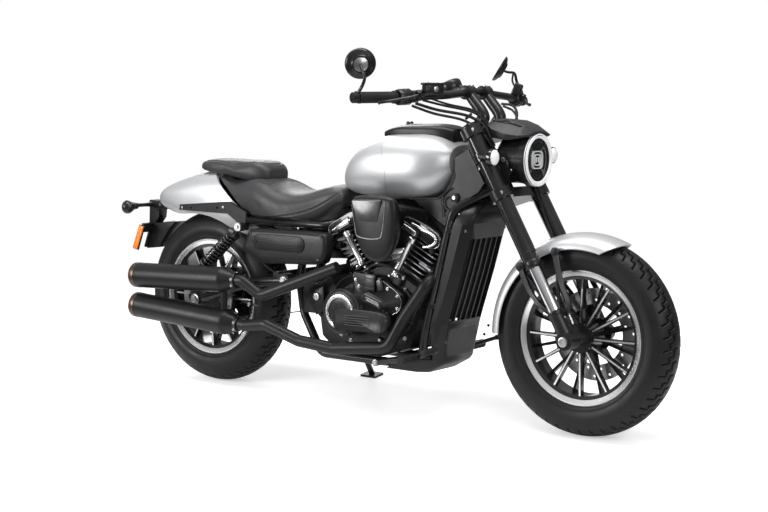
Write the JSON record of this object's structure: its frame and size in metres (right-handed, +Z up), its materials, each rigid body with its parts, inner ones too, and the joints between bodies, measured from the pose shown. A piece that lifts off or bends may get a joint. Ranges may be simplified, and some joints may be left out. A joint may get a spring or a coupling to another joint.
{
  "type": "cruiser motorcycle",
  "caption": "Cruiser motorcycle with a V-twin engine, silver tank and fenders, cast wheels, raked fork and stacked black mufflers, leaning on its side stand.",
  "frame": {"origin": "on the floor below the middle of the leaning motorcycle's bounding box", "axes": "+X forward, towards the front wheel; +Y to the rider's left, towards the side stand; +Z up"},
  "size_m": [2.2844, 1.0247, 1.2763],
  "materials": {
    "black_paint": "satin",
    "engine_black": "semi-gloss",
    "machined_alloy": "machined edges on black",
    "chrome": "polished",
    "silver_paint": "satin metallic",
    "black_plastic": "satin",
    "exhaust_black": "matte heat-proof",
    "seat_leather": "soft satin",
    "tyre_rubber": "matte",
    "wheel_black": "gloss",
    "brake_steel": "ground",
    "radiator_fins": "matte",
    "grip_rubber": "matte",
    "clear_lens": "clear",
    "red_lens": "clear red",
    "dark_lens": "smoked",
    "amber_lens": "reflective amber",
    "cap_black": "satin"
  },
  "bodies": {
    "chassis": {"frame": "black_paint", "swingarm": "black_paint", "rear_axle": "brake_steel", "shock_absorbers": "brake_steel", "crankcase": "engine_black", "cylinders": "engine_black", "rocker_covers": "machined_alloy", "pushrod_tubes": "chrome", "air_cleaner": "black_plastic", "right_covers": "engine_black", "primary_cover": "engine_black", "exhaust_headers": "exhaust_black", "mufflers": "exhaust_black", "radiator": "radiator_fins", "radiator_shroud": "black_plastic", "fuel_tank": "silver_paint", "tank_console": "black_plastic", "rider_seat": "seat_leather", "pillion_seat": "seat_leather", "rear_fender": "silver_paint", "fender_rails": "black_paint", "side_covers": "black_plastic", "neck_covers": "black_plastic", "plate_bracket": "black_paint", "tail_light": "red_lens", "rear_indicators": "dark_lens", "side_reflectors": "amber_lens", "foot_controls": "black_paint", "rear_caliper": "machined_alloy", "drive_belt": "grip_rubber", "drive_sprocket": "brake_steel"},
    "fork": {"triple_clamps": "black_paint", "fork_tubes": "black_paint", "fork_stanchions": "chrome", "fork_lugs": "engine_black", "front_axle": "brake_steel", "front_fender": "silver_paint", "handlebar": "black_paint", "grips": "grip_rubber", "hand_controls": "black_paint", "mirrors": "black_paint", "headlight": "black_plastic", "headlight_lens": "clear_lens", "nacelle": "black_plastic", "front_indicators": "clear_lens", "instrument": "black_plastic", "front_caliper": "machined_alloy"},
    "front_wheel": {"front_rim": "wheel_black", "front_tyre": "tyre_rubber", "front_disc": "brake_steel"},
    "rear_wheel": {"rear_rim": "wheel_black", "rear_tyre": "tyre_rubber", "rear_disc": "brake_steel", "rear_pulley": "wheel_black"},
    "side_stand": {"side_stand": "black_paint"},
    "fuel_cap": {"fuel_cap": "cap_black"}
  },
  "joints": [
    {"name": "steering", "type": "hinge", "parent": "chassis", "child": "fork", "pos_m": [0.47703, -0.03242, 0.82596], "axis": [-0.5, 0.1205, 0.8576], "range_deg": [-35, 35]},
    {"name": "front_wheel_spin", "type": "hinge", "parent": "fork", "child": "front_wheel", "pos_m": [0.826, -0.10401, 0.31653], "axis": [0, 0.9903, -0.1392], "continuous": true},
    {"name": "rear_wheel_spin", "type": "hinge", "parent": "chassis", "child": "rear_wheel", "pos_m": [-0.736, -0.10358, 0.3196], "axis": [0, 0.9903, -0.1392], "continuous": true},
    {"name": "stand_fold", "type": "hinge", "parent": "chassis", "child": "side_stand", "pos_m": [-0.176, 0.004, 0.16539], "axis": [-0.3032, 0.9315, 0.2007], "range_deg": [0, 91.5]},
    {"name": "cap_lid", "type": "hinge", "parent": "chassis", "child": "fuel_cap", "pos_m": [0.128, -0.01225, 0.96947], "axis": [0, -0.9903, 0.1392], "range_deg": [0, 95]}
  ]
}
